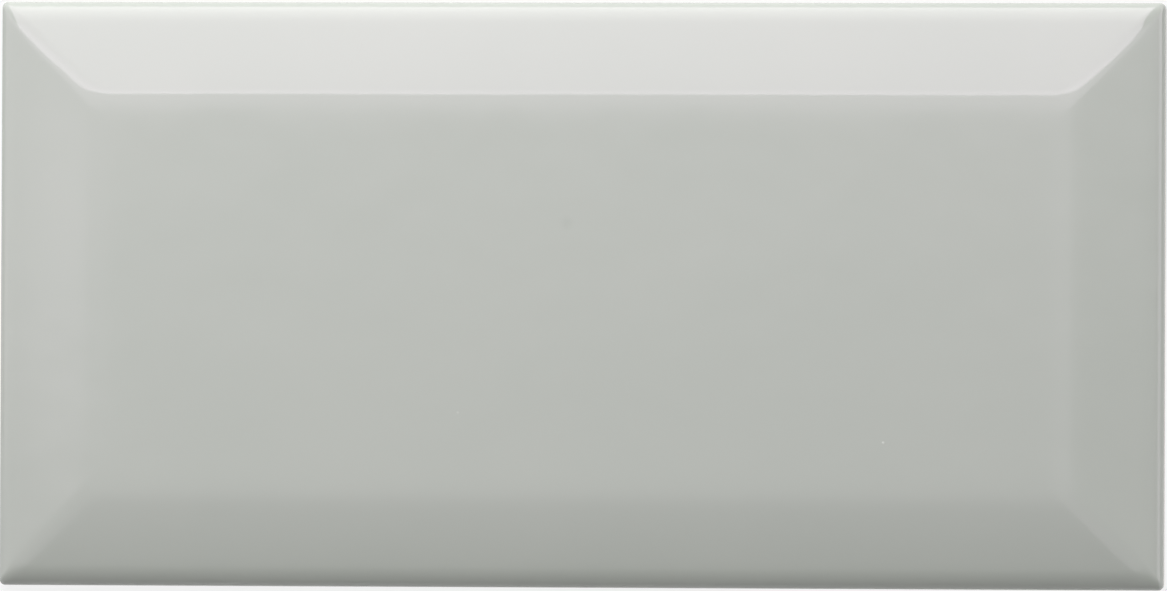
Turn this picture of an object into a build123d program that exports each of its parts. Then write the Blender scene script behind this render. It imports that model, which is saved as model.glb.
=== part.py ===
from build123d import *
import os
from math import atan, atan2, cos, hypot, sin, sqrt, tan

# A bevelled wall tile: one pressed, glazed and fired piece of earthenware.
# It lies on its back with the glazed face up. The origin is the middle of the
# back, +X runs along the tile, +Y across it and +Z out of the glazed face.

# Driving dimensions, in millimetres and degrees

# overall
tile_length = 200.0
tile_width = 100.0
tile_thickness = 7.0

# glazed face: a flat panel with a sloping bevel along each of its four sides
bevel_width = 15.5
bevel_rise = 2.5
arris_radius = 24.0
mitre_radius = 3.2
panel_corner_radius = 5.0

# outer edge: a soft rim, a quarter of an ellipse in section, over a short side wall
rim_width = 5.2
rim_height = 2.8
plan_corner_radius = 1.0
side_draft = 1.5
back_chamfer = 0.4

# back: a waffle of shallow pockets that keys into the adhesive
key_columns = 8
key_rows = 4
key_border = 4.0
key_rib = 3.0
key_depth = 0.8
key_draft = 30.0
key_corner_radius = 1.2

# smoothness of the two rounded stretches, in sections per bend
rim_sections = 12
arris_sections = 6

# Values worked out from the driving dimensions

bevel_slope = bevel_rise / bevel_width
bevel_angle = atan(bevel_slope)
edge_height = tile_thickness - bevel_rise
rim_lean = rim_width * bevel_slope
rim_room = edge_height + rim_lean - 2 * back_chamfer
rim_drop = min(rim_height, sqrt(rim_room**2 - rim_lean**2))
rim_turn = atan2(rim_drop, rim_lean)
wall_top = edge_height + rim_lean - hypot(rim_drop, rim_lean)
panel_inset = bevel_width + arris_radius * tan(bevel_angle / 2)
arris_width = arris_radius * sin(bevel_angle)
arris_foot = panel_inset - arris_width
key_pitch_x = (tile_length - 2 * key_border) / key_columns
key_pitch_y = (tile_width - 2 * key_border) / key_rows


def outline(inset, height, corner_radius):
    """The plan outline of the tile, drawn in from its edge by inset, at a height above the back."""
    plan = RectangleRounded(tile_length - 2 * inset, tile_width - 2 * inset, corner_radius)
    return Plane.XY.offset(height) * plan


def face_outline(inset, height):
    """An outline on the glazed face. Its corners open a little up the bevel and more over the arris."""
    up_bevel = min(inset / arris_foot, 1)
    over_arris = max((inset - arris_foot) / arris_width, 0)
    mitre_growth = (mitre_radius - plan_corner_radius) * up_bevel
    panel_growth = (panel_corner_radius - mitre_radius) * over_arris**2
    return outline(inset, height, plan_corner_radius + mitre_growth + panel_growth)


def rim_outline(turn):
    """The outline on the rim at a turn of its ellipse, from 0 at the side wall to rim_turn at the bevel."""
    return face_outline(rim_width * (1 - cos(turn)), wall_top + rim_drop * sin(turn))


def arris_outline(slope):
    """The outline on the rounded arris where the face slopes by an angle."""
    drop = arris_radius * (1 - cos(slope))
    return face_outline(panel_inset - arris_radius * sin(slope), tile_thickness - drop)


def side_wall():
    """The edge below the rim, drawn in a little towards the back, with the back's own edge broken."""
    rim_foot = outline(0, wall_top, plan_corner_radius)
    wall = extrude(rim_foot, amount=wall_top, dir=(0, 0, -1), taper=side_draft)
    return chamfer(wall.faces().sort_by(Axis.Z)[0].edges(), back_chamfer)


def glazed_face():
    """The soft rim, the four bevels with their softened mitres, and the arris round the flat panel."""
    rim = [rim_outline(rim_turn * step / rim_sections) for step in range(rim_sections + 1)]
    arris = [arris_outline(bevel_angle * (1 - step / arris_sections)) for step in range(arris_sections + 1)]
    return loft(rim) + loft([rim[-1], arris[0]], ruled=True) + loft(arris)


def key_pockets():
    """The shallow pockets in the back, between ribs that stand level with its border."""
    mouth = RectangleRounded(key_pitch_x - key_rib, key_pitch_y - key_rib, key_corner_radius)
    pocket = extrude(mouth, amount=key_depth, taper=key_draft)
    return [place * pocket for place in GridLocations(key_pitch_x, key_pitch_y, key_columns, key_rows)]


tile = side_wall() + glazed_face() - key_pockets()

os.makedirs("parts", exist_ok=True)
export_step(tile, "parts/bevelled_tile.step")
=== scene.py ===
from math import pi, radians, tan

import bpy
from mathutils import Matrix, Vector


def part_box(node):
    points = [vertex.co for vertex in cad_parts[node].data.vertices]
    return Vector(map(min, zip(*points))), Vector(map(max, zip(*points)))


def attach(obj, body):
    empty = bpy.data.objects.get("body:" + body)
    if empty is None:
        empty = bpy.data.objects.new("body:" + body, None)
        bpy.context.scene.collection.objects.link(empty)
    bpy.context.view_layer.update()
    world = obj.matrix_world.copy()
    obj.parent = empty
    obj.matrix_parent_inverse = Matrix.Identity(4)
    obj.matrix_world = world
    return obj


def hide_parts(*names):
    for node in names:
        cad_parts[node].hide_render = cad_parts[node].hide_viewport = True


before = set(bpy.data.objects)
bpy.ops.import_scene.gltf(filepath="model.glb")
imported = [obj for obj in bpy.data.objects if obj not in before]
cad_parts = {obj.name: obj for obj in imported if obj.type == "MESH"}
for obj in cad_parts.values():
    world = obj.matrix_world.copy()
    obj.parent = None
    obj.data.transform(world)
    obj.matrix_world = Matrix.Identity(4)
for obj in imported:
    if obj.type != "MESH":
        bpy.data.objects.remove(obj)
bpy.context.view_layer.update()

# A glazed wall tile with four bevelled sides, lying face up on a pale floor in soft studio light.
# Everything is in metres, in the frame of the solid: the back lies on z = 0, +Z leaves the glazed face.

SOLID = "bevelled_tile"
MM = 0.001

# Sizes of the tile, the overall ones read from the solid. The bevel crown is how much steeper the bevel is
# at the rim, and how much flatter at the arris, than a straight one. The arris softness is the distance in
# which the glaze takes up most of the turn between the bevel and the panel, on either side of the arris.
LOW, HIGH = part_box(SOLID)
TILE_SIZES = {
    "Length": HIGH.x - LOW.x,
    "Width": HIGH.y - LOW.y,
    "Thickness": HIGH.z - LOW.z,
    "Bevel Width": 15.5 * MM,
    "Bevel Rise": 2.5 * MM,
    "Bevel Crown": 0.02,
    "Arris Softness": 1.4 * MM,
    "Mitre Radius": 2.4 * MM,
    "Rim Width": 5.2 * MM,
    "Rim Height": 2.8 * MM,
    "Plan Corner Radius": 1.0 * MM,
    "Side Lean": tan(radians(1.5)),
    "Back Chamfer": 0.4 * MM,
    "Key Border": 4.0 * MM,
    "Key Rib": 3.0 * MM,
    "Key Depth": 0.8 * MM,
    "Key Slope": tan(radians(30.0)),
    "Key Softness": 0.22 * MM,
    "Key Corner Radius": 1.2 * MM,
}
TILE_COUNTS = {"Key Columns": 8, "Key Rows": 4}

# Fineness of the tile's mesh, in steps
CORNER_STEPS = 16
SIDE_STEPS = 20
RIM_STEPS = 16
BEVEL_STEPS = 6
ARRIS_STEPS = 28
KEY_CORNER_STEPS = 5
KEY_SIDE_STEPS = 6

# Where the soft arris starts on the bevel and ends on the panel, in lengths of its softness
ARRIS_START = -3.5
ARRIS_END = 5.0

# Limits of the skin: the sharpest turn that still shades smoothly, the upright part of the normal from
# which a face counts as level, and the distance within which points are welded
CREASE_ANGLE = radians(30.0)
LEVEL = 0.99999
WELD = 0.002 * MM

# Glaze: its colours where it lies thin and deep, its shine, and the sizes and ranges of its unevenness
GLAZE_COLOUR = (0.489, 0.513, 0.472, 1.0)
GLAZE_DEEP = (0.48, 0.506, 0.465, 1.0)
GLAZE_SHEEN = (1.0, 0.88, 1.0, 1.0)
GLAZE_IOR = 1.5
GLAZE_GLOSS = 0.065
GLAZE_GLOSS_WANDER = 0.03
GLAZE_CLOUD = 30.0 * MM
GLAZE_CLOUD_RANGE = (0.3, 0.7)
GLAZE_WAVE = 12.0 * MM
GLAZE_WAVE_HEIGHT = 0.03 * MM
GLAZE_RIPPLE = 3.0 * MM
GLAZE_RIPPLE_SHARE = 0.06

# Bare body, with its grain, and the line low on the sides where the glaze ends
BODY_COLOUR = (0.66, 0.61, 0.53, 1.0)
BODY_DARK = (0.56, 0.51, 0.44, 1.0)
BODY_GLOSS = 0.85
BODY_GRAIN = 0.5 * MM
BODY_GRAIN_RANGE = (0.35, 0.75)
BODY_GRAIN_HEIGHT = 0.12 * MM
GLAZE_LINE = 1.5 * MM
GLAZE_LINE_WANDER = 0.7 * MM
GLAZE_LINE_WAVE = 5.0 * MM
GLAZE_LINE_SOFTNESS = 0.1 * MM

# Marks in the glaze, by their places on the face: raised specks, each with its strength, and a faint spot
SPECKS = (((52.4 * MM, -25.1 * MM), 1.0), ((-20.5 * MM, -20.2 * MM), 0.4))
SPECK_SIZE = 0.34 * MM
# the specks' pale colour is a painted highlight on their raised tops
SPECK_GLINT_COLOUR = (0.64, 0.66, 0.62, 1.0)
SPECK_HEIGHT = 0.03 * MM
SPOT = (-1.9 * MM, 12.2 * MM)
SPOT_SIZE = 1.6 * MM
SPOT_COLOUR = (0.462, 0.487, 0.446, 1.0)

# Camera, worked out from the outline in the photograph
LENS_MM = 500.0
SENSOR_MM = 36.0
FARTHEST_VIEW = 50.0
CAMERA_PLACE = (308.4 * MM, -39.3 * MM, 2753.7 * MM)
CAMERA_TURN = (radians(0.841), radians(6.382), radians(0.264))

# Studio lamps: the middle of each, what it faces, its width, its height and its brightness, 1 being white
LAMPS = {
    "back_softbox": ((-0.17, 0.5, 0.495), (-0.17, 0.0, 0.0), 0.75, 0.99, 3.65),
    "right_panel": ((0.8, 0.0, 0.135), (0.0, 0.0, 0.0), 1.6, 0.26, 1.5),
}

# Pale parts of the studio that the glaze mirrors. Each has its brightness, 1 being white, and its stretch
# of the view from the tile, from left to right and from front to back: where it begins to show, shows in
# full, begins to fade and is gone. The view runs from -1 to 1, and a stretch may have no start or no end.
NO_START = (-3.0, -2.0)
NO_END = (2.0, 3.0)
UNBOUNDED = (*NO_START, *NO_END)
LEFT_STRETCH = (0.0, 0.012, 0.016, 0.03)
WALLS = {
    "left_wall": (0.7, (*NO_START, -0.158, -0.134), LEFT_STRETCH),
    "left_window": (0.9, (-0.52, -0.4, -0.4, -0.2), LEFT_STRETCH),
    "all_but_right": (0.4, (*NO_START, 0.02, 0.22), UNBOUNDED),
    "overhead_strip": (0.35, (-0.09, -0.05, -0.02, 0.1), UNBOUNDED),
    "all_but_front": (1.05, UNBOUNDED, (-0.45, -0.15, *NO_END)),
    "back_strip": (1.8, UNBOUNDED, (0.006, 0.06, 0.12, 0.24)),
}

# Brightness of the studio low down, as it lights the tile
ROOM_LIGHT = 1.25

# Floor: half its side, its colour under the lamps, and the share of plain white in what the eye sees of it
FLOOR_HALF = 2.0
FLOOR_COLOUR = (0.8, 0.8, 0.8, 1.0)
FLOOR_WHITENESS = 0.85
WHITE = (1.0, 1.0, 1.0, 1.0)


class Wire:
    """A value that runs from one node to others. Sums written with it add the nodes that work them out."""

    def __init__(self, board, socket):
        self.board = board
        self.socket = socket

    def out(self, name):
        """Another output of the node that this value comes from."""
        return Wire(self.board, self.socket.node.outputs[name])

    def math(self, operation, *others):
        return self.board.math(operation, self, *others)

    def __add__(self, other):
        return self.math("ADD", other)

    def __radd__(self, other):
        return self.board.math("ADD", other, self)

    def __sub__(self, other):
        return self.math("SUBTRACT", other)

    def __rsub__(self, other):
        return self.board.math("SUBTRACT", other, self)

    def __mul__(self, other):
        return self.math("MULTIPLY", other)

    def __rmul__(self, other):
        return self.board.math("MULTIPLY", other, self)

    def __truediv__(self, other):
        return self.math("DIVIDE", other)

    def __rtruediv__(self, other):
        return self.board.math("DIVIDE", other, self)

    def __abs__(self):
        return self.math("ABSOLUTE")

    def at_least(self, other):
        return self.math("MAXIMUM", other)

    def at_most(self, other):
        return self.math("MINIMUM", other)

    def sine(self):
        return self.math("SINE")

    def cosine(self):
        return self.math("COSINE")

    def eased(self):
        """This value, from 0 to 1, with a gentle start and end."""
        return self * self * (3 - 2 * self)

    def share(self, start, steps):
        """How far this count has gone on its way through steps from start: 0 before them and 1 after."""
        return ((self - start) / steps).at_least(0).at_most(1)

    def rising(self, start, end):
        """0 below start and 1 above end, with a gentle rise between them."""
        span = {"Value": self, "From Min": start, "From Max": end}
        return self.board.add("ShaderNodeMapRange", {"interpolation_type": "SMOOTHSTEP"}, span)

    def within(self, start, full, fade, end):
        """1 from full to fade and 0 outside start and end, with a gentle rise and fall between them."""
        return self.rising(start, full) * (1 - self.rising(fade, end))


class Board:
    """A node tree, with one way of adding a node to it."""

    def __init__(self, tree):
        self.tree = tree
        tree.nodes.clear()

    def add(self, kind, settings=None, sockets=None):
        """Adds a node, sets it up, then fills or links its sockets, a list over those of one name."""
        node = self.tree.nodes.new(kind)
        for name, value in (settings or {}).items():
            setattr(node, name, value)
        for name, value in (sockets or {}).items():
            slots = [slot for slot in node.inputs if slot.enabled and slot.name == name]
            for place, one in enumerate(value if isinstance(value, list) else [value]):
                self.plug(slots[min(place, len(slots) - 1)], one)
        outputs = [slot for slot in node.outputs if slot.enabled]
        return Wire(self, outputs[0]) if outputs else None

    def plug(self, socket, value):
        if isinstance(value, Wire):
            self.tree.links.new(value.socket, socket)
        else:
            socket.default_value = value

    def math(self, operation, *values):
        node = self.tree.nodes.new("ShaderNodeMath")
        node.operation = operation
        for socket, value in zip(node.inputs, values):
            self.plug(socket, value)
        return Wire(self, node.outputs[0])

    def blend(self, share, first, second):
        """A colour that goes from the first to the second as share goes from 0 to 1."""
        return self.add("ShaderNodeMix", {"data_type": "RGBA"}, {"Factor": share, "A": first, "B": second})

    def point(self, x, y, z):
        return self.add("ShaderNodeCombineXYZ", None, {"X": x, "Y": y, "Z": z})

    def split(self, vector):
        x = self.add("ShaderNodeSeparateXYZ", None, {"Vector": vector})
        return x, x.out("Y"), x.out("Z")

    def noise(self, place, grain, detail, roughness=0.5):
        """Soft random values about 0.5, with lumps about as wide as grain."""
        sockets = {"Vector": place, "Scale": 1 / grain, "Detail": detail, "Roughness": roughness}
        return self.add("ShaderNodeTexNoise", None, sockets)


def rounded_rectangle(board, step, corner_steps, side_steps, half_x, half_y, radius, height):
    """The place of each step round a rectangle with rounded corners: a corner's steps, then a side's."""
    corner = (step / (corner_steps + side_steps)).math("FLOOR")
    along = step - corner * (corner_steps + side_steps)
    turn = (corner + along.share(0, corner_steps)) * (pi / 2)
    side = corner + along.share(corner_steps, side_steps).eased()
    centre_x = (2 * (abs(side - 1.5) - 1)).at_least(-1).at_most(1) * (half_x - radius)
    centre_y = (2 * (abs(side - 2.5) - 1)).at_least(-1).at_most(1) * (half_y - radius)
    return board.point(centre_x + radius * turn.cosine(), centre_y + radius * turn.sine(), height)


def tile_tree(material):
    """The pressed tile: its section carried round the plan, a panel on top and pockets in the back."""
    tree = bpy.data.node_groups.new("pressed_tile", "GeometryNodeTree")
    board = Board(tree)
    tree.interface.new_socket("Tile", in_out="OUTPUT", socket_type="NodeSocketGeometry")
    for name in TILE_SIZES:
        tree.interface.new_socket(name, in_out="INPUT", socket_type="NodeSocketFloat")
    for name in TILE_COUNTS:
        tree.interface.new_socket(name, in_out="INPUT", socket_type="NodeSocketInt")
    given = board.add("NodeGroupInput")
    size = {name: given.out(name) for name in (*TILE_SIZES, *TILE_COUNTS)}
    index = board.add("GeometryNodeInputIndex")
    round_steps = 4 * (CORNER_STEPS + SIDE_STEPS)

    def sheet(columns, rows):
        """A sheet of faces, with the column and the row of each of its points."""
        column = ((index + 0.5) / rows).math("FLOOR")
        mesh = board.add("GeometryNodeMeshGrid", None, {"Vertices X": columns, "Vertices Y": rows})
        return mesh, column, index - column * rows

    def moved(mesh, place):
        return board.add("GeometryNodeSetPosition", None, {"Geometry": mesh, "Position": place})

    def ring(steps, fill):
        return board.add("GeometryNodeMeshCircle", {"fill_type": fill}, {"Vertices": steps})

    def joined(*pieces):
        return board.add("GeometryNodeJoinGeometry", None, {"Geometry": list(pieces)})

    def turned_over(mesh):
        return board.add("GeometryNodeFlipFaces", None, {"Mesh": mesh})

    # section of the bevel, the arris above it and the rim and wall below it
    chamfer = size["Back Chamfer"]
    slope = size["Bevel Rise"] / size["Bevel Width"]
    rim_slope, arris_slope = slope + size["Bevel Crown"], slope - size["Bevel Crown"]

    def arris_fall(way):
        """How far the face is below the panel, a way inside the arris, in lengths of its softness."""
        turned = (abs(way) * -1).math("EXPONENT") / 2
        return arris_slope * size["Arris Softness"] * ((way * -1).at_least(0) + turned)

    arris_foot = size["Bevel Width"] + ARRIS_START * size["Arris Softness"]
    panel_inset = size["Bevel Width"] + ARRIS_END * size["Arris Softness"]
    arris_top = size["Thickness"] + arris_fall(index * 0 + ARRIS_END)
    rim_turn = size["Rim Height"].math("ARCTAN2", size["Rim Width"] * rim_slope)
    bevel_run = arris_foot - size["Rim Width"] * (1 - rim_turn.cosine())
    bevel_top = arris_top - arris_fall(index * 0 + ARRIS_START)
    wall_top = bevel_top - slope * bevel_run - size["Rim Height"] * rim_turn.sine()

    def plan_place(step, inset, height):
        """The place of a step round an outline of the tile, drawn in from its edge by inset."""
        opening = inset.share(0, size["Rim Width"])
        radius = size["Plan Corner Radius"] + (size["Mitre Radius"] - size["Plan Corner Radius"]) * opening
        half_x, half_y = size["Length"] / 2 - inset, size["Width"] / 2 - inset
        return rounded_rectangle(board, step, CORNER_STEPS, SIDE_STEPS, half_x, half_y, radius, height)

    # side and glazed face: the section carried round the plan, row by row from the back up to the panel
    rim_row = 2
    bevel_row = rim_row + RIM_STEPS
    arris_row = bevel_row + BEVEL_STEPS
    skirt, column, row = sheet(round_steps + 1, arris_row + ARRIS_STEPS + 1)
    up_chamfer, up_wall = row.share(0, 1), row.share(1, 1)
    wall_height = chamfer * up_chamfer + (wall_top - chamfer) * up_wall
    turn = rim_turn * row.share(rim_row, RIM_STEPS)
    up_bevel = row.share(bevel_row, BEVEL_STEPS)
    over = row.share(arris_row, ARRIS_STEPS)
    inset = chamfer * (1 - up_chamfer) + size["Side Lean"] * (wall_top - wall_height)
    inset = inset + size["Rim Width"] * (1 - turn.cosine()) + bevel_run * up_bevel
    inset = inset + (panel_inset - arris_foot) * over
    height = wall_height + size["Rim Height"] * turn.sine()
    height = height + bevel_run * up_bevel * (rim_slope - size["Bevel Crown"] * up_bevel)
    height = height + arris_top - bevel_top - arris_fall(ARRIS_START + (ARRIS_END - ARRIS_START) * over)
    face = moved(skirt, plan_place(column, inset, height))
    panel = moved(ring(round_steps, "NGON"), plan_place(index, panel_inset, size["Thickness"]))

    # pockets of the waffle, with softened edges
    pitch_x = (size["Length"] - 2 * size["Key Border"]) / size["Key Columns"]
    pitch_y = (size["Width"] - 2 * size["Key Border"]) / size["Key Rows"]

    def pocket_place(step, share):
        """The place of a step round a pocket, at a share of the way from its mouth to its floor."""
        run = size["Key Slope"] * size["Key Depth"] + 2 * size["Key Softness"]
        inset = size["Key Rib"] / 2 - size["Key Softness"] + run * share
        radius = size["Key Corner Radius"] + size["Key Rib"] / 2 - inset
        depth = size["Key Depth"] * share.eased()
        half_x, half_y = pitch_x / 2 - inset, pitch_y / 2 - inset
        return rounded_rectangle(board, step, KEY_CORNER_STEPS, 1, half_x, half_y, radius, depth)

    key_steps = 4 * (KEY_CORNER_STEPS + 1)
    key_sheet, key_column, key_row = sheet(key_steps + 1, KEY_SIDE_STEPS + 1)
    key_side = moved(key_sheet, pocket_place(key_column, key_row / KEY_SIDE_STEPS))
    key_floor = moved(ring(key_steps, "NGON"), pocket_place(index, index * 0 + 1))
    key_mouth = moved(ring(key_steps, "NONE"), pocket_place(index, index * 0))
    key_centres = board.add("GeometryNodeMeshGrid", None, {
        "Size X": pitch_x * (size["Key Columns"] - 1),
        "Size Y": pitch_y * (size["Key Rows"] - 1),
        "Vertices X": size["Key Columns"],
        "Vertices Y": size["Key Rows"],
    })

    def at_each_pocket(shape):
        spread = board.add("GeometryNodeInstanceOnPoints", None, {"Points": key_centres, "Instance": shape})
        return board.add("GeometryNodeRealizeInstances", None, {"Geometry": spread})

    pockets = at_each_pocket(turned_over(joined(key_side, key_floor)))

    # back: its border and ribs, level with each other round the mouths of the pockets
    back_inset = chamfer + size["Side Lean"] * wall_top
    back_edge = moved(ring(round_steps, "NONE"), plan_place(index, back_inset, 0))
    mouths = at_each_pocket(key_mouth)
    back_lines = board.add("GeometryNodeMeshToCurve", None, {"Mesh": joined(back_edge, mouths)})
    back = turned_over(board.add("GeometryNodeFillCurve", {"mode": "TRIANGLES"}, {"Curve": back_lines}))

    # one closed skin, smooth but for its level faces and its creases
    skin = board.add("GeometryNodeMergeByDistance", None, {
        "Geometry": joined(face, panel, pockets, back),
        "Distance": WELD,
    })
    _, _, facing = board.split(board.add("GeometryNodeInputNormal"))
    skin = board.add("GeometryNodeSetShadeSmooth", {"domain": "FACE"}, {
        "Geometry": skin,
        "Shade Smooth": abs(facing).math("LESS_THAN", LEVEL),
    })
    skin = board.add("GeometryNodeSetShadeSmooth", {"domain": "EDGE"}, {
        "Geometry": skin,
        "Shade Smooth": board.add("GeometryNodeInputMeshEdgeAngle").math("LESS_THAN", CREASE_ANGLE),
    })
    skin = board.add("GeometryNodeRealizeInstances", None, {"Geometry": skin})
    skin = board.add("GeometryNodeSetMaterial", None, {"Geometry": skin, "Material": material})
    board.add("NodeGroupOutput", None, {"Tile": skin})
    return tree


def pressed_tile(material):
    """The tile as a plain mesh."""
    tree = tile_tree(material)
    maker = bpy.data.objects.new("tile_maker", bpy.data.meshes.new("tile_maker"))
    bpy.context.scene.collection.objects.link(maker)
    modifier = maker.modifiers.new("pressed_tile", "NODES")
    modifier.node_group = tree
    sizes = {**TILE_SIZES, **TILE_COUNTS}
    for item in tree.interface.items_tree:
        if item.in_out == "INPUT":
            modifier[item.identifier] = sizes[item.name]
    view = bpy.context.evaluated_depsgraph_get()
    mesh = bpy.data.meshes.new_from_object(maker.evaluated_get(view))
    mesh.name = "glazed_tile"
    maker.modifiers.remove(modifier)
    bpy.data.objects.remove(maker)
    tile = bpy.data.objects.new("glazed_tile", mesh)
    bpy.context.scene.collection.objects.link(tile)
    return tile


def glazed_earthenware():
    """Pale grey-green gloss glaze on the face and sides, bare fired body below the glaze line."""
    material = bpy.data.materials.new("glazed_earthenware")
    material.use_nodes = True
    board = Board(material.node_tree)
    place = board.add("ShaderNodeTexCoord").out("Object")
    x, y, z = board.split(place)

    def mark(centre, size):
        """1 in the middle of a round mark on the face, falling gently to 0 at its edge."""
        across, along = x - centre[0], y - centre[1]
        return 1 - (across * across + along * along).math("SQRT").rising(0, size)

    # glaze: a little uneven in depth and gloss, with its marks; the specks are raised and also lightened as
    # a painted highlight
    cloud = board.noise(place, GLAZE_CLOUD, detail=3.0)
    glaze = board.blend(cloud.rising(*GLAZE_CLOUD_RANGE), GLAZE_COLOUR, GLAZE_DEEP)
    glaze = board.blend(mark(SPOT, SPOT_SIZE), glaze, SPOT_COLOUR)
    speck_bumps_and_glints = sum(mark(centre, SPECK_SIZE) * strength for centre, strength in SPECKS)
    # painted highlight: the glaze is lightened where the specks stand
    glaze = board.blend(speck_bumps_and_glints, glaze, SPECK_GLINT_COLOUR)
    gloss = GLAZE_GLOSS + (cloud - 0.5) * GLAZE_GLOSS_WANDER

    # body: dusty pressed clay
    grain = board.noise(place, BODY_GRAIN, detail=4.0, roughness=0.7)
    body = board.blend(grain.rising(*BODY_GRAIN_RANGE), BODY_COLOUR, BODY_DARK)

    # glaze line: a soft, wandering edge
    line = GLAZE_LINE + (board.noise(place, GLAZE_LINE_WAVE, detail=3.0) - 0.5) * GLAZE_LINE_WANDER
    glazed = (z - line).rising(-GLAZE_LINE_SOFTNESS, GLAZE_LINE_SOFTNESS)

    # relief: faint waves and the specks in the glaze, grain in the body
    ripple = board.noise(place, GLAZE_RIPPLE, detail=1.0)
    wave = board.noise(place, GLAZE_WAVE, detail=1.0) + GLAZE_RIPPLE_SHARE * ripple
    glaze_relief = wave * GLAZE_WAVE_HEIGHT + speck_bumps_and_glints * SPECK_HEIGHT
    relief = glazed * glaze_relief + (1 - glazed) * grain * BODY_GRAIN_HEIGHT
    normal = board.add("ShaderNodeBump", None, {"Strength": 1.0, "Distance": 1.0, "Height": relief})
    surface = board.add("ShaderNodeBsdfPrincipled", None, {
        "Base Color": board.blend(glazed, body, glaze),
        "Roughness": BODY_GLOSS + glazed * (gloss - BODY_GLOSS),
        "IOR": GLAZE_IOR,
        "Specular Tint": GLAZE_SHEEN,
        "Normal": normal,
    })
    board.add("ShaderNodeOutputMaterial", None, {"Surface": surface})
    return material


def pale_floor():
    """A wide white floor that takes the tile's shadow."""
    material = bpy.data.materials.new("pale_floor")
    material.use_nodes = True
    board = Board(material.node_tree)
    lit = board.add("ShaderNodeBsdfDiffuse", None, {"Color": FLOOR_COLOUR})
    glow = board.add("ShaderNodeEmission", None, {"Color": WHITE, "Strength": 1.0})
    ray = board.add("ShaderNodeLightPath")
    mirrored = ray.out("Is Glossy Ray").at_least(ray.out("Is Transmission Ray"))
    seen = mirrored.at_least(ray.out("Is Camera Ray"))
    surface = board.add("ShaderNodeMixShader", None, {"Fac": seen * FLOOR_WHITENESS, "Shader": [lit, glow]})
    board.add("ShaderNodeOutputMaterial", None, {"Surface": surface})
    far = FLOOR_HALF
    corners = [(-far, -far, 0), (far, -far, 0), (far, far, 0), (-far, far, 0)]
    mesh = bpy.data.meshes.new("floor")
    mesh.from_pydata(corners, [], [(0, 1, 2, 3)])
    mesh.materials.append(material)
    floor = bpy.data.objects.new("floor", mesh)
    bpy.context.scene.collection.objects.link(floor)


def studio_world():
    """The studio: light from low down, pale walls for the glaze to mirror, and plain white to the eye."""
    world = bpy.data.worlds.new("studio")
    world.use_nodes = True
    bpy.context.scene.world = world
    board = Board(world.node_tree)
    x, y, z = board.split(board.add("ShaderNodeTexCoord").out("Generated"))
    ray = board.add("ShaderNodeLightPath")
    to_eye = ray.out("Is Camera Ray")
    mirrored = ray.out("Is Glossy Ray").at_least(ray.out("Is Transmission Ray"))
    low = 1 - z.at_least(0)
    room = ROOM_LIGHT * low * low * low
    walls = sum(bright * x.within(*across) * y.within(*along) for bright, across, along in WALLS.values())
    level = to_eye + mirrored * walls + (1 - to_eye - mirrored) * room
    light = board.add("ShaderNodeBackground", None, {"Color": WHITE, "Strength": level})
    board.add("ShaderNodeOutputWorld", None, {"Surface": light})


def studio_lamps():
    """Soft rectangular lamps that face the tile."""
    for name, (middle, aim, width, height, brightness) in LAMPS.items():
        lamp = bpy.data.lights.new(name, "AREA")
        lamp.shape = "RECTANGLE"
        lamp.size = width
        lamp.size_y = height
        lamp.energy = brightness * pi * width * height
        holder = bpy.data.objects.new(name, lamp)
        holder.location = middle
        facing = Vector(aim) - Vector(middle)
        holder.rotation_euler = facing.to_track_quat("-Z", "Y").to_euler()
        holder.visible_camera = False
        bpy.context.scene.collection.objects.link(holder)


def camera():
    """A long lens that looks down on the tile."""
    lens = bpy.data.cameras.new("camera")
    lens.lens = LENS_MM
    lens.sensor_width = SENSOR_MM
    lens.sensor_fit = "HORIZONTAL"
    lens.clip_end = FARTHEST_VIEW
    holder = bpy.data.objects.new("camera", lens)
    holder.location = CAMERA_PLACE
    holder.rotation_euler = CAMERA_TURN
    bpy.context.scene.collection.objects.link(holder)
    bpy.context.scene.camera = holder


tile = pressed_tile(glazed_earthenware())
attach(tile, "root")
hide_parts(SOLID)

pale_floor()
studio_world()
studio_lamps()
camera()
bpy.context.scene.view_settings.view_transform = "Standard"
